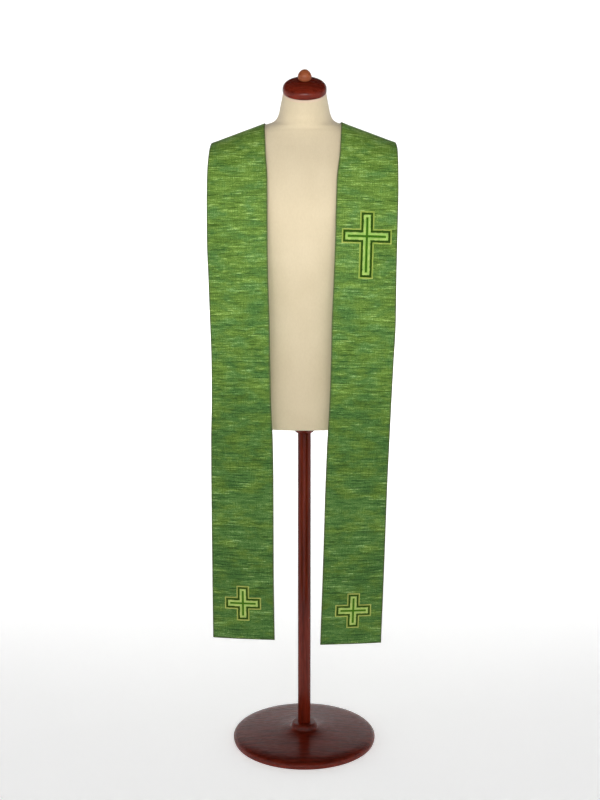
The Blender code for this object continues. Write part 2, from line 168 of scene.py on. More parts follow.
# side is -1 for the wearer's right band and 1 for the left one.
Cut = namedtuple("Cut", "name node side edges hem_inner hem_outer creases")
CUTS = (
    Cut("right_band_cloth", "band_right", -1, RIGHT_FRONT, 0.3360, 0.3310, RIGHT_CREASES),
    Cut("left_band_cloth", "band_left", 1, LEFT_FRONT, 0.3240, 0.3180, LEFT_CREASES),
)

# Embroidered crosses: the node and band they belong to, the middle of the crossing (from the
# band's inner edge and up from its hem), the reach of the arms, the half width of the bars, and
# how pale the thread is at the least, from 0 to 1.
Cross = namedtuple("Cross", "name node band across up side_arm top_arm foot_arm half_bar paleness")
CROSSES = (
    Cross("chest_cross_stitching", "cross_chest", "band_left",
          0.0790, 1.0360, 0.0630, 0.0600, 0.1020, 0.0180, 0.1),
    Cross("right_hem_cross_stitching", "cross_hem_right", "band_right",
          0.0790, 0.0960, 0.0460, 0.0460, 0.0460, 0.0160, 0.6),
    Cross("left_hem_cross_stitching", "cross_hem_left", "band_left",
          0.0810, 0.0900, 0.0460, 0.0460, 0.0460, 0.0160, 0.6),
)
STITCH = 0.0015  # from one stitch to the next
STITCH_BITE = 0.0003  # how far the stitches go into the cloth
CROSS_PLAN = "cross_plan"

# Rows of satin stitch from a cross's edge inwards: where each starts, as a share of the half bar,
# how high its middle stands off the cloth, and its thread, which drifts from one shade to another.
Row = namedtuple("Row", "start rise dull bright")
STITCH_ROWS = (
    Row(0.00, 0.0014, (170, 200, 84), (232, 238, 128)),
    Row(0.19, 0.0008, (42, 80, 0), (62, 102, 0)),
    Row(0.50, 0.0014, (170, 220, 104), (228, 252, 140)),
    Row(0.84, 0.0010, (56, 112, 8), (88, 150, 20)),
)
STITCH_RELIEF = 0.00016  # how far every other stitch line stands up, and the rest lie down
ROW_DIP = 0.10  # how low the edge of a row lies, as a share of its rise

# ---------------------------------------------------------------- the form's sizes

# Level sections of the body and neck: half the width, the reach in front of and behind the middle,
# where the middle lies, how much the section rises towards the back, and how square its outline is.
Section = namedtuple("Section", "height half_width front back middle lean roundness")
FORM = (
    Section(0.8700, 0.1560, 0.1000, 0.1090, 0.000, 0.00, 2.30),
    Section(0.8730, 0.1660, 0.1090, 0.1180, 0.000, 0.00, 2.30),
    Section(0.8820, 0.1710, 0.1130, 0.1220, 0.000, 0.00, 2.30),
    Section(0.9500, 0.1750, 0.1160, 0.1240, 0.000, 0.00, 2.30),
    Section(1.0400, 0.1670, 0.1110, 0.1140, 0.000, 0.00, 2.30),
    Section(1.1500, 0.1500, 0.1050, 0.0980, 0.000, 0.00, 2.30),
    Section(1.2500, 0.1590, 0.1150, 0.1020, 0.000, 0.00, 2.35),
    Section(1.3400, 0.1770, 0.1300, 0.1120, 0.000, 0.00, 2.40),
    Section(1.4200, 0.1920, 0.1370, 0.1190, 0.000, 0.00, 2.40),
    Section(1.4800, 0.2050, 0.1250, 0.1170, 0.000, 0.00, 2.30),
    Section(1.5290, 0.2165, 0.1060, 0.1070, 0.000, 0.00, 2.15),
    Section(1.5545, 0.2205, 0.0925, 0.0970, 0.000, 0.00, 2.05),
    Section(1.5725, 0.2125, 0.0820, 0.0870, 0.000, 0.00, 2.00),
    Section(1.5842, 0.1970, 0.0760, 0.0810, 0.000, 0.00, 2.00),
    Section(1.5933, 0.1728, 0.0715, 0.0760, 0.000, 0.00, 2.00),
    Section(1.6025, 0.1482, 0.0680, 0.0720, 0.000, 0.00, 2.00),
    Section(1.6116, 0.1232, 0.0655, 0.0690, 0.000, 0.02, 2.00),
    Section(1.6208, 0.0965, 0.0640, 0.0660, -0.002, 0.05, 2.00),
    Section(1.6264, 0.0790, 0.0630, 0.0640, -0.004, 0.08, 2.00),
    Section(1.6330, 0.0700, 0.0613, 0.0622, -0.006, 0.12, 2.00),
    Section(1.6450, 0.0638, 0.0588, 0.0596, -0.009, 0.20, 2.00),
    Section(1.6620, 0.0598, 0.0560, 0.0552, -0.014, 0.32, 2.00),
    Section(1.6820, 0.0556, 0.0516, 0.0510, -0.018, 0.42, 2.00),
    Section(1.6984, 0.0530, 0.0484, 0.0484, -0.019, 0.4452, 2.00),
)
FORM_AROUND = 128  # points round each ring
FORM_STEPS = 8  # rings from one section to the next
CAP_TILT = math.atan(FORM[-1].lean)
POLE_RADIUS = 0.0170
POLE_BEVEL = 0.0015
POLE_SIDES = 64
TURNED_SIDES = 128
PROFILE_STEPS = 6  # steps from one point of a profile to the next
SHARP_TURN = math.radians(40)  # turned wood keeps a crisp edge from this turn on

# Profiles of the turned pieces: radius and height above the piece's own seat.
Turn = namedtuple("Turn", "radius height")
CAP_PROFILE = (
    Turn(0.0000, 0.0300),
    Turn(0.0180, 0.0292),
    Turn(0.0340, 0.0266),
    Turn(0.0440, 0.0229),
    Turn(0.0503, 0.0179),
    Turn(0.0535, 0.0118),
    Turn(0.0541, 0.0056),
    Turn(0.0537, 0.0013),
    Turn(0.0515, 0.0000),
    Turn(0.0000, 0.0000),
)
KNOB_PROFILE = (
    Turn(0.0000, 0.0264),
    Turn(0.0060, 0.0252),
    Turn(0.0108, 0.0216),
    Turn(0.0146, 0.0164),
    Turn(0.0166, 0.0108),
    Turn(0.0170, 0.0070),
    Turn(0.0160, 0.0034),
    Turn(0.0138, 0.0012),
    Turn(0.0124, 0.0000),
    Turn(0.0000, 0.0000),
)
COLLAR_PROFILE = (
    Turn(0.0000, 0.0240),
    Turn(0.0520, 0.0240),
    Turn(0.0540, 0.0215),
    Turn(0.0520, 0.0170),
    Turn(0.0350, 0.0110),
    Turn(0.0240, 0.0020),
    Turn(0.0230, 0.0000),
    Turn(0.0000, 0.0000),
)
BASE_PROFILE = (
    Turn(0.0000, 0.0480),
    Turn(0.0290, 0.0480),
    Turn(0.0330, 0.0445),
    Turn(0.0360, 0.0350),
    Turn(0.0600, 0.0300),
    Turn(0.1710, 0.0215),
    Turn(0.1850, 0.0180),
    Turn(0.1900, 0.0110),
    Turn(0.1890, 0.0030),
    Turn(0.1860, 0.0000),
    Turn(0.0000, 0.0000),
)

# ---------------------------------------------------------------- curves through tables


def lerp(a, b, share):
    return a + (b - a) * share


def smooth_step(t):
    t = min(max(t, 0.0), 1.0)
    return t * t * (3 - 2 * t)


def smooth_table(places, values):
    """A curve through the values that never overshoots them (monotone cubic)."""
    spans = [b - a for a, b in zip(places, places[1:])]
    slopes = [(b - a) / h for a, b, h in zip(values, values[1:], spans)]
    bends = [slopes[0]]
    for left, right, h0, h1 in zip(slopes, slopes[1:], spans, spans[1:]):
        if left * right <= 0:
            bends.append(0.0)
            continue
        w0, w1 = 2 * h1 + h0, h1 + 2 * h0
        bends.append((w0 + w1) / (w0 / left + w1 / right))
    bends.append(slopes[-1])

    def at(place):
        place = min(max(place, places[0]), places[-1])
        i = min(bisect_right(places, place) - 1, len(spans) - 1)
        t = (place - places[i]) / spans[i]
        start_bend = t * (1 - t) ** 2 * bends[i]
        end_bend = t * t * (1 - t) * bends[i + 1]
        return lerp(values[i], values[i + 1], smooth_step(t)) + (start_bend - end_bend) * spans[i]

    return at


def by_height(rows, column):
    ordered = sorted(rows, key=lambda row: row.height)
    return smooth_table([r.height for r in ordered], [getattr(r, column) for r in ordered])


# ---------------------------------------------------------------- the worn cloth


def ridge_height(x):
    return RIDGE_HEIGHT - (x - RIDGE_X) * math.tan(RIDGE_FALL)


def drape_half_width(height):
    reach = RIDGE_X + (RIDGE_HEIGHT - height) / math.tan(RIDGE_FALL)
    if reach <= DRAPE_WIDE:
        return reach
    return DRAPE_WIDE + DRAPE_SIDE * (1 - math.exp((DRAPE_WIDE - reach) / DRAPE_SIDE))


def drape_share(x, height):
    return math.sqrt(max(0.0, 1 - (x / drape_half_width(height)) ** 2))


front_depth = by_height(DRAPE, "front")
back_depth = by_height(DRAPE, "back")


class WornBand:
    """Where each point of a band's flat cut lies once the band is worn.

    share runs from the inner edge, 0, to the outer edge, 1; along is the distance from the hem.
    """

    NUDGE = 0.004

    def __init__(self, cut):
        self.cut = cut
        self.side = cut.side
        self.inner, self.outer, self.push, self.crown = (
            by_height(cut.edges, column) for column in ("inner", "outer", "outer_push", "crown")
        )
        self.lines = [self.lengthwise(i / LINES) for i in range(LINES + 1)]
        self.lengths = [self.measured(line) for line in self.lines]

    def front_point(self, share, height):
        inner, outer = self.inner(height), self.outer(height)
        x = lerp(inner, outer, share)
        arc = front_depth(height) * drape_share(x, height)
        crown = self.crown(height)
        if crown < 1:
            ends = [front_depth(height) * drape_share(e, height) for e in (inner, outer)]
            arc = lerp(lerp(*ends, share), arc, crown)
        return Vector((self.side * x, -arc - self.push(height) * share, height))

    def lengthwise(self, share):
        """Fine points of one lengthwise line, up the front and down the back."""
        top = RIDGE_HEIGHT
        for _ in range(RIDGE_ROUNDS):
            x = lerp(self.inner(top), self.outer(top), share)
            top = ridge_height(x)
        hem = lerp(self.cut.hem_inner, self.cut.hem_outer, share)
        points = []
        for i in range(PATH_STEPS + 1):
            drop = (top - hem) * (1 - i / PATH_STEPS) ** 2
            points.append(self.front_point(share, top - drop))
        seam = lerp(SEAM_TOP, SEAM_BOTTOM, share)
        for i in range(1, PATH_STEPS + 1):
            done = (i / PATH_STEPS) ** 2
            px, height = lerp(x, SEAM_GAP / 2, done), lerp(top, seam, done)
            points.append(Vector((self.side * px, back_depth(height) * drape_share(px, height), height)))
        return points

    @staticmethod
    def measured(points):
        lengths = [0.0]
        for a, b in zip(points, points[1:]):
            lengths.append(lengths[-1] + (b - a).length)
        return lengths

    def length_at(self, share):
        place = share * LINES
        i = min(int(place), LINES - 1)
        return lerp(self.lengths[i][-1], self.lengths[i + 1][-1], place - i)

    def on_line(self, line, along):
        points, lengths = self.lines[line], self.lengths[line]
        i = min(max(bisect_right(lengths, along) - 1, 0), len(points) - 2)
        return lerp(points[i], points[i + 1], (along - lengths[i]) / (lengths[i + 1] - lengths[i]))

    def on_face(self, share, along):
        place = share * LINES
        i = min(max(int(place), 0), LINES - 1)
        return lerp(self.on_line(i, along), self.on_line(i + 1, along), place - i)

    def relief(self, across, along):
        """How far the cloth rises from its plain drape: creases, seam allowances and hem."""
        rise = 0.0
        for crease in self.cut.creases:
            t = (along - crease.along) / crease.half_long
            if abs(t) < 1:
                off = (across - crease.across - crease.lean * t) / crease.half_wide
                rise -= crease.depth * math.exp(-off * off) * math.cos(t * math.pi / 2) ** 2
        edge = min(across, BAND_WIDTH - across)
        folded = max(
            smooth_step((TURNED_IN - edge) / ALLOWANCE_SOFT),
            smooth_step((HEM_DEEP - along) / ALLOWANCE_SOFT),
        )
        return rise + ALLOWANCE_RISE * folded

    def place(self, share, along, rise=0.0):
        """The point at a share of the width and a distance from the hem, a rise off the inner face."""
        step = self.NUDGE
        low, high = max(share - step, 0.0), min(share + step, 1.0)
        across = self.on_face(high, along) - self.on_face(low, along)
        upward = self.on_face(share, along + step) - self.on_face(share, along - step)
        normal = (across.cross(upward) * self.side).normalized()
        return self.on_face(share, along) + normal * (rise + self.relief(share * BAND_WIDTH, along))


# ---------------------------------------------------------------- making pieces


def set_out(name, data):
    """Links a new object to the scene."""
    thing = bpy.data.objects.new(name, data)
    bpy.context.scene.collection.objects.link(thing)
    return thing


def mesh_of(name, bm, finish):
    """A smooth mesh of a bmesh, in one finish."""
    mesh = bpy.data.meshes.new(name)
    bm.to_mesh(mesh)
    bm.free()
    mesh.shade_smooth()
    mesh.materials.append(finish)
    return mesh


def finished(name, bm, finish, node):
    """Turns a bmesh into a piece that rides on the form, stands for its node and has its finish."""
    piece = set_out(name, mesh_of(name, bm, finish))
    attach(piece, "root")
    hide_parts(node)
    return piece


def make_band(band, finish):
    """A grid laid on the worn cloth, with its flat cut as a UV map, made a wall with soft edges."""
    bm = bmesh.new()
    rows = LEVEL_ROWS + UPPER_ROWS
    bmesh.ops.create_grid(bm, x_segments=LINES, y_segments=rows, size=1.0)
    spots = {}
    for vert in bm.verts:
        share = (vert.co.x + 1) / 2
        row = round((vert.co.y + 1) / 2 * rows)
        along = LEVEL_LENGTH * min(row / LEVEL_ROWS, 1.0)
        past = max(row - LEVEL_ROWS, 0) / UPPER_ROWS
        along = lerp(along, band.length_at(share), past)
        spots[vert] = (share * BAND_WIDTH, along)
        vert.co = band.place(share, along)
    flat_cut = bm.loops.layers.uv.new(FLAT_CUT)
    for face in bm.faces:
        for loop in face.loops:
            loop[flat_cut].uv = spots[loop.vert]
    if band.side < 0:
        bmesh.ops.reverse_faces(bm, faces=bm.faces)
    piece = finished(band.cut.name, bm, finish, band.cut.node)
    wall = piece.modifiers.new("cloth wall", "SOLIDIFY")
    wall.thickness = WALL
    wall.offset = 1.0
    wall.use_even_offset = True
    soft = piece.modifiers.new("soft edges", "BEVEL")
    soft.limit_method = "ANGLE"
    soft.angle_limit = EDGE_TURN
    soft.width = EDGE_ROUND
    soft.segments = 2
    return piece


def declare_cloth(band, stitching):
    """Works out the flat cut's area (straight edges, square hem, mitred seam at the back) and drops it.
    """
    outer_edge, inner_edge = band.length_at(1.0), band.length_at(0.0)
    BAND_WIDTH * (outer_edge + inner_edge) / 2


def even_lines(marks, step):
    """Grid lines through the marks, an even number of steps of about the given size between them."""
    lines = [marks[0]]
    for low, high in zip(marks, marks[1:]):
        steps = 2 * max(1, round((high - low) / step / 2))
        lines += [lerp(low, high, (k + 1) / steps) for k in range(steps)]
    return lines


def depth_in_cross(x, y, cross):
    """Distance in from the cross's outline, and whether its nearest side is upright."""
    from_side = cross.half_bar - abs(x)
    from_end = cross.top_arm - y if y > 0 else cross.foot_arm + y
    from_bar = cross.half_bar - abs(y)
    from_tip = cross.side_arm - abs(x)
    upright = min(from_side, from_end)
    bar = min(from_bar, from_tip)
    if upright >= bar:
        return upright, from_side <= from_end
    return bar, from_tip < from_bar


def stitched_rise(depth, cross):
    """Height of the embroidery off the cloth at a distance in from the outline."""
    share = min(max(depth / cross.half_bar, 0.0), 1.0)
    starts = [row.start for row in STITCH_ROWS] + [2.0 - STITCH_ROWS[-1].start]
    i = bisect_right(starts, share) - 1
    across_row = (share - starts[i]) / (starts[i + 1] - starts[i])
    dome = math.sqrt(max(0.0, 1 - (2 * across_row - 1) ** 2))
    low = 0.0 if i == 0 and across_row < 0.5 else ROW_DIP
    return STITCH_ROWS[i].rise * lerp(low, 1.0, dome)


def make_cross(cross, band, finish):
    """Rows of raised satin stitch that follow a cross's outline, laid on the band's outer face."""
    step = STITCH / 2
    xs = even_lines((-cross.side_arm, -cross.half_bar, cross.half_bar, cross.side_arm), step)
    ys = even_lines((-cross.foot_arm, -cross.half_bar, cross.half_bar, cross.top_arm), step)
    bm = bmesh.new()
    bmesh.ops.create_grid(bm, x_segments=len(xs) - 1, y_segments=len(ys) - 1, size=1.0)
    plan = bm.loops.layers.uv.new(CROSS_PLAN)
    for vert in bm.verts:
        column = round((vert.co.x + 1) / 2 * (len(xs) - 1))
        row = round((vert.co.y + 1) / 2 * (len(ys) - 1))
        x, y = xs[column], ys[row]
        depth, on_upright_side = depth_in_cross(x, y, cross)
        ripple = STITCH_RELIEF * (-1) ** (row if on_upright_side else column)
        rise = stitched_rise(depth, cross) + (ripple if depth > step / 2 else 0.0)
        vert.co = (x, y, WALL + rise)
    outside = []
    for face in bm.faces:
        middle = face.calc_center_median()
        if depth_in_cross(middle.x, middle.y, cross)[0] < 0:
            outside.append(face)
    bmesh.ops.delete(bm, geom=outside, context="FACES")

    # The kept faces become the underside, just inside the cloth, and their copies the stitches.
    underside = set(bm.verts)
    bmesh.ops.extrude_face_region(bm, geom=bm.faces[:], use_keep_orig=True)
    for face in bm.faces:
        for loop in face.loops:
            loop[plan].uv = loop.vert.co.xy
    for vert in bm.verts:
        x, y, height = vert.co
        if vert in underside:
            height = WALL - STITCH_BITE
        vert.co = band.place((cross.across + band.side * x) / BAND_WIDTH, cross.up + y, height)
    bmesh.ops.recalc_face_normals(bm, faces=bm.faces)
    return finished(cross.name, bm, finish, cross.node)


def superellipse(angle, section):
    power = 2 / section.roundness
    c, s = math.cos(angle), math.sin(angle)
    depth = section.back if s > 0 else section.front
    x = section.half_width * math.copysign(abs(c) ** power, c)
    return x, depth * math.copysign(abs(s) ** power, s)


def make_form(finish):
    """The jersey-covered body and neck: a fine sphere whose rings move out to the table's sections."""
    rings = (len(FORM) - 1) * FORM_STEPS + 1
    curves = [smooth_table(list(range(len(FORM))), list(column)) for column in zip(*FORM)]
    bm = bmesh.new()
    bmesh.ops.create_uvsphere(bm, u_segments=FORM_AROUND, v_segments=rings + 1, radius=1.0)
    for vert in bm.verts:
        polar = math.acos(max(-1.0, min(1.0, -vert.co.z)))
        ring = round(polar / math.pi * (rings + 1)) - 1
        at_pole = ring in (-1, rings)
        place = min(max(ring, 0), rings - 1) / FORM_STEPS
        section = Section(*(curve(place) for curve in curves))
        angle = math.atan2(vert.co.y, vert.co.x)
        x, y = (0.0, 0.0) if at_pole else superellipse(angle, section)
        vert.co = (x, y + section.middle, section.height + section.lean * y)
    return finished("form_jersey", bm, finish, "form_body")


def spin_round(bm, profile, steps):
    """Spins a line of points a full turn about the upright axis and closes its seam and poles."""
    verts = [bm.verts.new((radius, 0.0, height)) for radius, height in profile]
    edges = [bm.edges.new(pair) for pair in zip(verts, verts[1:])]
    bmesh.ops.spin(
        bm,
        geom=verts + edges,
        axis=(0.0, 0.0, 1.0),
        cent=(0.0, 0.0, 0.0),
        steps=steps,
        angle=math.tau,
        use_merge=True,
    )
    bmesh.ops.remove_doubles(bm, verts=bm.verts, dist=1e-6)
    bmesh.ops.recalc_face_normals(bm, faces=bm.faces)


def make_turned(name, profile, finish, node, seat, tilt=0.0):
    """A turned piece: a smooth profile spun round its axis, then set on its seat."""
    places = list(range(len(profile)))
    radius_at = smooth_table(places, [turn.radius for turn in profile])
    height_at = smooth_table(places, [turn.height for turn in profile])
    bm = bmesh.new()
    steps = (len(profile) - 1) * PROFILE_STEPS
    shares = [k / PROFILE_STEPS for k in range(steps + 1)]
    spin_round(bm, [(radius_at(s), height_at(s)) for s in shares], TURNED_SIDES)
    bmesh.ops.rotate(bm, verts=bm.verts, matrix=Euler((tilt, 0.0, 0.0)).to_matrix())
    bmesh.ops.translate(bm, verts=bm.verts, vec=seat)
    piece = finished(name, bm, finish, node)
    piece.data.set_sharp_from_angle(angle=SHARP_TURN)
    return piece


def make_pole(finish):
    low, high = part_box("stand_pole")
    bm = bmesh.new()
    bmesh.ops.create_cone(
        bm,
        cap_ends=True,
        segments=POLE_SIDES,
        radius1=POLE_RADIUS,
        radius2=POLE_RADIUS,
        depth=high.z - low.z,
    )
    ends = [edge for edge in bm.edges if len({round(v.co.z, 5) for v in edge.verts}) == 1]
    bmesh.ops.bevel(
        bm, geom=ends, offset=POLE_BEVEL, affect="EDGES", segments=3, profile=0.5, material=-1
    )
    bmesh.ops.translate(bm, verts=bm.verts, vec=(0.0, 0.0, (low.z + high.z) / 2))
    piece = finished("pole_wood", bm, finish, "stand_pole")
    piece.data.set_sharp_from_angle(angle=SHARP_TURN)
    return piece


# ---------------------------------------------------------------- finishes


def paint(red, green, blue):
    """A colour as shader numbers, from its display values of 0 to 255."""
    shown = [value / 255 for value in (red, green, blue)]
    return [v / 12.92 if v <= 0.04045 else ((v + 0.055) / 1.055) ** 2.4 for v in shown] + [1.0]


class Value:
    """A shader socket that takes part in sums, products and comparisons."""

    def __init__(self, finish, socket):
        self.finish = finish
        self.socket = socket

    def maths(self, operation, *values):
        return self.finish.node("Math", {"operation": operation}, dict(enumerate(values)))

    def __add__(self, other):
        return self.maths("ADD", self, other)

    def __radd__(self, other):
        return self.maths("ADD", other, self)

    def __sub__(self, other):
        return self.maths("SUBTRACT", self, other)

    def __rsub__(self, other):
        return self.maths("SUBTRACT", other, self)

    def __mul__(self, other):
        return self.maths("MULTIPLY", self, other)

    def __rmul__(self, other):
        return self.maths("MULTIPLY", other, self)

    def __truediv__(self, other):
        return self.maths("DIVIDE", self, other)

    def __abs__(self):
        return self.maths("ABSOLUTE", self)

    def least(self, other):
        return self.maths("MINIMUM", self, other)

    def most(self, other):
        return self.maths("MAXIMUM", self, other)

    def above(self, limit):
        return self.maths("GREATER_THAN", self, limit)

    def sine(self):
        return self.maths("SINE", self)

    def whole(self):
        return self.maths("FLOOR", self)


class Finish:
    """A material under construction, with its Principled BSDF ready."""

    def __init__(self, name, constants):
        self.material = bpy.data.materials.new(name)
        self.material.use_nodes = True
        self.tree = self.material.node_tree
        self.shader = self.tree.nodes["Principled BSDF"]
        for socket, value in constants.items():
            self.shader.inputs[socket].default_value = value

    def node(self, kind, settings=None, inputs=None, output=0):
        """Adds a node, sets it up, fills its sockets with values or links, and returns an output."""
        made = self.tree.nodes.new("ShaderNode" + kind)
        for name, value in (settings or {}).items():
            if name == "stops":
                ramp = made.color_ramp.elements
                while len(ramp) < len(value):
                    ramp.new(1.0)
                for element, (place, colour) in zip(ramp, value):
                    element.position = place
                    element.color = colour
            else:
                setattr(made, name, value)
        for key, value in (inputs or {}).items():
            if isinstance(value, Value):
                self.tree.links.new(value.socket, made.inputs[key])
            else:
                made.inputs[key].default_value = value
        return Value(self, made.outputs[output])

    def feed(self, socket, value):
        self.tree.links.new(value.socket, self.shader.inputs[socket])

    def parts(self, vector, count=2):
        """The first numbers of a vector."""
        split = self.node("SeparateXYZ", None, {0: vector}).socket.node
        return [Value(self, split.outputs[i]) for i in range(count)]

    def noise(self, x, y, z, detail=0.0, roughness=0.5):
        at = self.node("CombineXYZ", None, {0: x, 1: y, 2: z})
        return self.node("TexNoise", None, {"Vector": at, "Scale": 1.0, "Detail": detail,
                                            "Roughness": roughness})

    def stretched_noise(self, at, stretch, detail=2.0, roughness=0.5):
        """Noise whose repeats per metre along each axis are given by stretch."""
        placed = self.node("VectorMath", {"operation": "MULTIPLY"}, {0: at, 1: stretch})
        return self.node("TexNoise", None, {"Vector": placed, "Scale": 1.0, "Detail": detail,
                                            "Roughness": roughness})

    def between(self, value, low, high):
        """0 below low, 1 above high, and smooth between them."""
        return self.node(
            "MapRange",
            {"interpolation_type": "SMOOTHSTEP"},
            {"Value": value, "From Min": low, "From Max": high},
        )

    def blend(self, share, first, second):
        """A colour that goes from the first to the second as the share goes from 0 to 1."""
        return self.node("Mix", {"data_type": "RGBA"}, {0: share, 6: first, 7: second}, output=2)

    def ramp(self, value, stops):
        shades = [(place, paint(*colour)) for place, colour in stops]
        return self.node("ValToRGB", {"stops": shades}, {"Fac": value})

    def bump(self, height, distance, strength=1.0):
        inputs = {"Height": height, "Distance": distance, "Strength": strength}
        return self.node("Bump", None, inputs)


# Runs of weft thread in the silk: the pitch of the threads, how many shades a metre each passes
# through, where the pattern starts, and how much it counts in the cloth's tone.
Weft = namedtuple("Weft", "pitch shades start weight")
SLUBS = Weft(0.0027, 16.0, 1.0, 1.15)
THREADS = Weft(0.0015, 58.0, 5.0, 0.80)
PALE_DASHES = Weft(0.0022, 24.0, 9.0, 0.32)
DARK_DASHES = Weft(0.0020, 18.0, 13.0, 0.32)
THREAD_STEP = 7.31  # moves the pattern on from one thread to the next
PALE_FROM = (0.58, 0.72)  # where in a run's own tone its pale dashes begin and are full
DARK_FROM = (0.42, 0.30)

# Uneven spots in the silk: how many there are a metre across and along the band, where the pattern
# starts, how fine and rough it is, and how much it counts.
Spots = namedtuple("Spots", "across along start detail roughness weight")
SWAY = Spots(9.0, 60.0, 0.0, 0.0, 0.5, 0.0005)  # metres by which the weft strays from its line
GRAIN = Spots(340.0, 400.0, 8.0, 1.0, 0.5, 0.8)
WARP = Spots(560.0, 30.0, 3.0, 0.0, 0.5, 0.25)
PATCHES = Spots(14.0, 60.0, 2.0, 2.0, 0.5, 0.5)
DYE = Spots(17.0, 34.0, 6.0, 3.0, 0.6, 1.0)
# Painted light: the silk grows bluer and darker towards the hem, yellower towards the shoulders.
PAINTED_LIGHT_LEVEL = 0.7  # height up the band where its two dyes are even
PAINTED_LIGHT_RISE = 0.12  # how much yellower it grows a metre above that

# Painted light and shade on stretches of the band, up from its hem: two darker ones lower down and a
# paler one high up. Where each one comes in and goes out again, and how much it counts in the tone.
Stretch = namedtuple("Stretch", "start full ease end weight")
PAINTED_LIGHT_STRETCHES = (
    Stretch(0.14, 0.18, 0.23, 0.29, -0.070),
    Stretch(0.36, 0.44, 0.60, 0.68, -0.075),
    Stretch(1.12, 1.24, 1.50, 1.60, 0.090),
)

# Greens of the silk from its darkest to its palest threads, each with its place in the tone.
MIDDLE_TONE = 0.48
YELLOWISH_GREENS = (
    (0.05, (60, 90, 22)),
    (MIDDLE_TONE, (99, 134, 50)),
    (0.72, (128, 164, 70)),
    (1.00, (184, 212, 116)),
)
BLUISH_GREENS = (
    (0.05, (44, 82, 34)),
    (MIDDLE_TONE, (83, 126, 56)),
    (0.72, (111, 154, 78)),
    (1.00, (168, 204, 126)),
)
DYE_AND_PAINTED_LIGHT_CHANGE = (0.36, 0.64)  # from the bluish greens to the yellowish ones
# Painted shade along the long edges and the hem, where the cloth turns away from the light.
EDGE_PAINTED_SHADE = (80, 82, 54)
EDGE_SHADE_FADE = (0.0008, 0.0066)  # distances from an edge between which its darker line fades
EDGE_SHADE_SHARE = 0.66
SHINY_TONES = (0.45, 0.9)  # pale threads are the shinier ones
RIB_PITCH = 0.0013
SILK_RELIEF = 0.0006


def silk_finish():
    """Slubbed raw-silk look: uneven weft threads in several greens, straight across the band."""
    silk = Finish(
        "green_slubbed_silk",
        {"Sheen Weight": 0.04, "Sheen Roughness": 0.4, "Specular IOR Level": 0.2},
    )
    across, along = silk.parts(silk.node("UVMap", {"uv_map": FLAT_CUT}))

    def spots(kind):
        at = across * kind.across, along * kind.along, kind.start
        return silk.noise(*at, detail=kind.detail, roughness=kind.roughness)

    weft = along + (spots(SWAY) - 0.5) * SWAY.weight

    def threads(run):
        """Every thread of a run has its own light and dark along its length."""
        row = (weft / run.pitch).whole() * THREAD_STEP
        return silk.noise(across * run.shades, row, run.start, detail=2.0)

    slub, thread, warp = threads(SLUBS), threads(THREADS), spots(WARP)
    tone = (
        MIDDLE_TONE
        + (slub - 0.5) * SLUBS.weight
        + (thread - 0.5) * THREADS.weight
        + (spots(GRAIN) - 0.5) * GRAIN.weight
        + (warp - 0.5) * WARP.weight
        + (spots(PATCHES) - 0.5) * PATCHES.weight
        + silk.between(threads(PALE_DASHES), *PALE_FROM) * PALE_DASHES.weight
        - silk.between(threads(DARK_DASHES), *DARK_FROM) * DARK_DASHES.weight
    )
    # Painted light and shade in stretches along the band's length.
    for run in PAINTED_LIGHT_STRETCHES:
        shown = silk.between(along, run.start, run.full) * silk.between(along, run.end, run.ease)
        tone = tone + shown * run.weight
    # Random dye patches, plus the painted light that makes the silk bluer low down and yellower high up.
    dye_and_painted_light = spots(DYE) * DYE.weight + (along - PAINTED_LIGHT_LEVEL) * PAINTED_LIGHT_RISE
    yellowish = silk.ramp(tone, YELLOWISH_GREENS)
    bluish = silk.ramp(tone, BLUISH_GREENS)
    colour = silk.blend(silk.between(dye_and_painted_light, *DYE_AND_PAINTED_LIGHT_CHANGE), bluish, yellowish)

    # Painted shade: a darker line along the long edges and the hem.
    edge = across.least(BAND_WIDTH - across).least(along)
    edge_shade = 1.0 - silk.between(edge, *EDGE_SHADE_FADE)
    silk.feed("Base Color", silk.blend(edge_shade * EDGE_SHADE_SHARE, colour, paint(*EDGE_PAINTED_SHADE)))
    silk.feed("Roughness", 0.68 - silk.between(tone, *SHINY_TONES) * 0.14)
    ribs = (weft * (math.tau / RIB_PITCH)).sine()
    height = slub + thread * 0.5 + ribs * 0.08 + warp * 0.2
    silk.feed("Normal", silk.bump(height, SILK_RELIEF, 0.7))
    return silk.material


WOBBLES = 420.0  # how many times a metre the thread of the crosses changes at its finest
DRIFTS = 95.0  # and more slowly
ROW_WOBBLE = 0.07  # how uneven that makes the rows' borders, as shares of the half bar
ROW_DRIFT = 0.12
ROW_BLUR = 0.02
SHADE_CHANGE = (0.40, 0.64)  # where in its drift the thread turns pale
SHADE_REACH = 0.4
# Painted shadow in the grooves between stitch lines; its colour also mottles the thread at random.
GAP_SHADOW_AND_MOTTLE = (24, 40, 4)  # between two stitches
GAP_WIDTH = (-1.0, 0.2)  # where in a stitch line's wave its shade fades
GAP_SHADE = 0.20
WOBBLE_LEVEL = 0.56  # below this the wobble shades the thread
WOBBLE_SHADE = 0.34
FLOSS_RELIEF = 0.0002


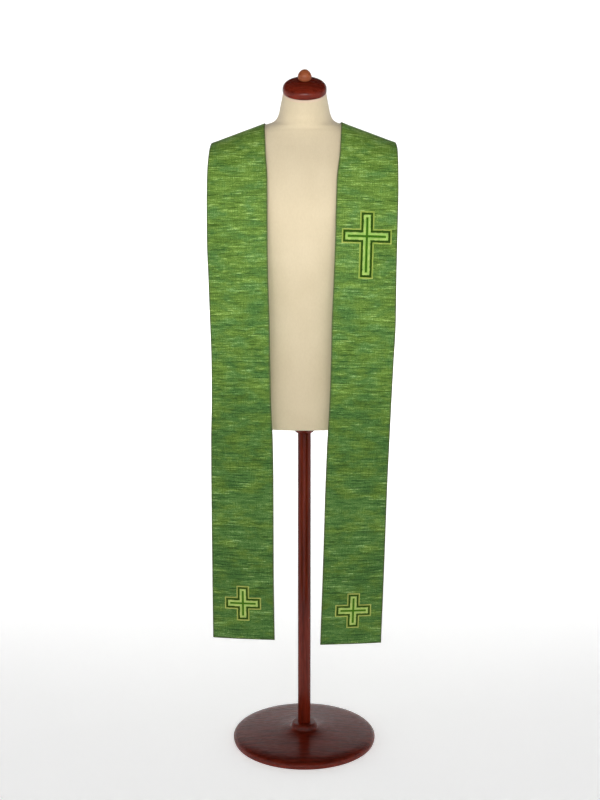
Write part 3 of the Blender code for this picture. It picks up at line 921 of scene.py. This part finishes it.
def thread_finish(cross):
    """Satin stitch whose thread changes colour from row to row, in from the cross's outline."""
    floss = Finish("satin_stitch_" + cross.node, {"Specular IOR Level": 0.2})
    x, y = floss.parts(floss.node("UVMap", {"uv_map": CROSS_PLAN}))
    from_side = cross.half_bar - abs(x)
    from_end = (cross.top_arm - y).least(cross.foot_arm + y)
    from_bar = cross.half_bar - abs(y)
    from_tip = cross.side_arm - abs(x)
    upright = from_side.least(from_end)
    bar = from_bar.least(from_tip)
    depth = upright.most(bar) / cross.half_bar

    wobble = floss.noise(x * WOBBLES, y * WOBBLES, 0.0, detail=1.0)
    drift = floss.noise(x * DRIFTS, y * DRIFTS, 4.0, detail=2.0)
    share = depth + (wobble - 0.5) * ROW_WOBBLE + (drift - 0.5) * ROW_DRIFT
    paleness = cross.paleness + floss.between(drift, *SHADE_CHANGE) * SHADE_REACH
    colour = None
    for row in STITCH_ROWS:
        thread = floss.blend(paleness, paint(*row.dull), paint(*row.bright))
        inside = floss.between(share, row.start - ROW_BLUR, row.start + ROW_BLUR)
        colour = floss.blend(inside, colour, thread) if colour else thread

    # Stitches lie square to the nearest side: their lines count along y beside an upright side.
    beside_upright = (upright - bar).above(0.0) * (from_end - from_side).above(0.0) + (
        bar - upright
    ).above(0.0) * (from_bar - from_tip).above(0.0)
    across_stitches = floss.node("Mix", None, {0: beside_upright, 2: x, 3: y})
    stitches = (across_stitches * (math.tau / STITCH * 2)).sine()
    # Painted shadow between stitch lines, and a random darker mottle where the wobble is low.
    gap = 1.0 - floss.between(stitches, *GAP_WIDTH)
    gap_shadow_and_mottle = gap * GAP_SHADE + (WOBBLE_LEVEL - wobble) * WOBBLE_SHADE
    floss.feed("Base Color", floss.blend(gap_shadow_and_mottle, colour, paint(*GAP_SHADOW_AND_MOTTLE)))
    floss.feed("Roughness", 0.40 + wobble * 0.12)
    floss.feed("Normal", floss.bump(stitches, FLOSS_RELIEF, 0.8))
    return floss.material


# The form's jersey: repeats a metre along X, Y and Z, its two creams, the pinker tint of the neck
# just under the cap with the distances between which it fades, and the pitch of the knit.
FLECKS = (260.0, 260.0, 140.0)
CLOUDS = (9.0, 9.0, 6.0)
CREAMS = ((0.3, (219, 202, 168)), (0.7, (232, 216, 184)))
NECK_TINT = (238, 206, 188)
TINT_FADE = (0.002, 0.008)
TINT_SHADE = 0.55
KNIT_RIB = 0.0016
KNIT_ROW = 0.0022
KNIT_RELIEF = 0.0003


def jersey_finish(neck):
    """Cream cotton jersey: fine ribs of knit down the form, a little pinker just under the cap."""
    jersey = Finish(
        "cream_jersey",
        {"Sheen Weight": 0.25, "Sheen Roughness": 0.6, "Specular IOR Level": 0.25},
    )
    at = jersey.node("TexCoord", None, None, output="Object")
    fleck = jersey.stretched_noise(at, FLECKS, detail=3.0)
    cloud = jersey.stretched_noise(at, CLOUDS, detail=2.0)
    cream = jersey.ramp(cloud * 0.7 + fleck * 0.3, CREAMS)
    x, y, z = jersey.parts(at, 3)
    below_cap = neck.height + (y - neck.middle) * neck.lean - z
    near_cap = 1.0 - jersey.between(below_cap, *TINT_FADE)
    jersey.feed("Base Color", jersey.blend(near_cap * TINT_SHADE, cream, paint(*NECK_TINT)))
    jersey.feed("Roughness", 0.82 + fleck * 0.12)
    ribs = (x * (math.tau / KNIT_RIB)).sine() + (z * (math.tau / KNIT_ROW)).sine() * 0.5
    jersey.feed("Normal", jersey.bump(ribs * 0.25 + fleck, KNIT_RELIEF, 0.5))
    return jersey.material


# Stained woods: the repeats a metre of their figure along X, Y and Z, long along the grain, their
# two shades, how rough they are and how much lacquer they have.
Wood = namedtuple("Wood", "name figure dark pale roughness coat")
LEVEL_GRAIN = (9.0, 120.0, 120.0)
UPRIGHT_GRAIN = (150.0, 150.0, 6.0)
TURNED_WOOD = Wood("red_brown_lacquer", LEVEL_GRAIN, (82, 18, 6), (130, 42, 24), 0.27, 0.11)
POLE_WOOD = TURNED_WOOD._replace(name="red_brown_lacquer_upright", figure=UPRIGHT_GRAIN)
KNOB_WOOD = Wood("light_brown_varnish", LEVEL_GRAIN, (130, 62, 34), (176, 100, 64), 0.45, 0.1)
PORES = 5  # pores to one repeat of the figure
PORE_RELIEF = 0.0001


def wood_finish(kind):
    """Stained wood under lacquer, with its grain along one axis."""
    wood = Finish(
        kind.name,
        {
            "Coat Weight": kind.coat,
            "Coat Roughness": 0.20,
            "Coat IOR": 2.2,
            "Specular IOR Level": 0.05,
        },
    )
    at = wood.node("TexCoord", None, None, output="Object")
    pores = wood.stretched_noise(at, tuple(PORES * repeats for repeats in kind.figure), detail=2.0)
    figure = wood.stretched_noise(at, kind.figure, detail=4.0, roughness=0.55)
    tone = figure * 0.75 + pores * 0.25
    wood.feed("Base Color", wood.ramp(tone, [(0.34, kind.dark), (0.66, kind.pale)]))
    wood.feed("Roughness", kind.roughness + (pores - 0.5) * 0.1)
    wood.feed("Normal", wood.bump(pores, PORE_RELIEF, 0.3))
    return wood.material


# ---------------------------------------------------------------- studio

COVE_REACH = 4.6  # radius of the flat floor
COVE_CURVE = 1.4  # radius of the bend from the floor to the wall
COVE_TOP = 4.2
COVE_STEPS = 9
COVE_SIDES = 96
COVE_WHITE = paint(250, 250, 250)
FLOOR_GLOW = 0.55
WHITE = paint(255, 255, 255)
DIM_WALL = paint(40, 40, 40)
WALL_FADE = (0.1, 2.0)  # heights between which the glow fades
AIR = 0.055  # strength of the light from all round

SENSOR = 36.0
LENS = 59.85
CAMERA_PLACE = (-0.0113, -3.35, 1.58)
LOOKS_DOWN = 11  # degrees

Lamp = namedtuple("Lamp", "name place target size watts spread")
LAMPS = (
    Lamp("key", (0.0, -1.6, 1.80), (0.0, 0.0, 1.44), (2.0, 0.9), 3.9, 70),
    Lamp("fill", (-2.4, -2.8, 1.9), (0.0, 0.0, 1.3), (2.2, 2.2), 0.4, 120),
    Lamp("left_wall", (-2.4, 2.2, 3.0), (-1.6, 6.0, 1.0), (2.0, 2.0), 75.0, 180),
    Lamp("right_wall", (2.4, 2.2, 3.0), (1.6, 6.0, 1.0), (2.0, 2.0), 75.0, 180),
)


def make_cove():
    """A round white cove whose floor glows softly, so that shadows on it stay pale."""
    bm = bmesh.new()
    profile = [(0.0, 0.0), (COVE_REACH, 0.0)]
    for step in range(1, COVE_STEPS + 1):
        turn = math.radians(90) * step / COVE_STEPS
        outward, upward = math.sin(turn), 1 - math.cos(turn)
        profile.append((COVE_REACH + COVE_CURVE * outward, COVE_CURVE * upward))
    profile.append((COVE_REACH + COVE_CURVE, COVE_TOP))
    spin_round(bm, profile, COVE_SIDES)
    white = Finish(
        "studio_white",
        {
            "Base Color": COVE_WHITE,
            "Roughness": 0.95,
            "Specular IOR Level": 0.0,
            "Emission Strength": FLOOR_GLOW,
        },
    )
    height = white.parts(white.node("TexCoord", None, None, output="Object"), 3)[2]
    white.feed("Emission Color", white.blend(white.between(height, *WALL_FADE), WHITE, DIM_WALL))
    set_out("studio_cove", mesh_of("studio_cove", bm, white.material))


def light_studio():
    """A low key lamp in front, a weak fill, two lamps on the wall behind, and a little air light."""
    for lamp in LAMPS:
        light = bpy.data.lights.new(lamp.name, "AREA")
        light.shape = "ELLIPSE"
        light.size, light.size_y = lamp.size
        light.energy = lamp.watts
        light.spread = math.radians(lamp.spread)
        holder = set_out(lamp.name, light)
        holder.location = lamp.place
        aim = Vector(lamp.target) - Vector(lamp.place)
        holder.rotation_euler = aim.to_track_quat("-Z", "Y").to_euler()
        holder.visible_camera = False
    world = bpy.data.worlds.new("studio_air")
    bpy.context.scene.world = world
    world.use_nodes = True
    air = world.node_tree.nodes["Background"].inputs
    air["Color"].default_value = WHITE
    air["Strength"].default_value = AIR
    bpy.context.scene.view_settings.view_transform = "Standard"


def make_camera():
    """Level with the shoulders, looking a little down, with the form's axis just right of centre."""
    optics = bpy.data.cameras.new("camera")
    optics.sensor_width = SENSOR
    optics.lens = LENS
    camera = set_out("camera", optics)
    camera.location = CAMERA_PLACE
    camera.rotation_euler = (math.radians(90 - LOOKS_DOWN), 0.0, 0.0)
    bpy.context.scene.camera = camera


# ---------------------------------------------------------------- the whole

make_camera()
make_cove()
light_studio()

turned_wood, pole_wood, knob_wood = map(wood_finish, (TURNED_WOOD, POLE_WOOD, KNOB_WOOD))
silk = silk_finish()
neck = FORM[-1]

make_form(jersey_finish(neck))
for cut in CUTS:
    band = WornBand(cut)
    cloth = make_band(band, silk)
    own_crosses = [cross for cross in CROSSES if cross.band == cut.node]
    declare_cloth(band, [make_cross(cross, band, thread_finish(cross)) for cross in own_crosses])

upright = Vector((0.0, -math.sin(CAP_TILT), math.cos(CAP_TILT)))
cap_seat = Vector((0.0, neck.middle, neck.height)) + upright * SEAM_GAP
knob_seat = cap_seat + upright * (CAP_PROFILE[0].height + SEAM_GAP)
make_turned("cap_wood", CAP_PROFILE, turned_wood, "neck_cap", cap_seat, CAP_TILT)
make_turned("knob_turned", KNOB_PROFILE, knob_wood, "cap_knob", knob_seat, CAP_TILT)
collar_seat = Vector((0.0, 0.0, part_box("stand_collar")[0].z))
make_turned("collar_wood", COLLAR_PROFILE, turned_wood, "stand_collar", collar_seat)
make_turned("base_wood", BASE_PROFILE, turned_wood, "stand_base", Vector((0.0, 0.0, 0.0)))
make_pole(pole_wood)
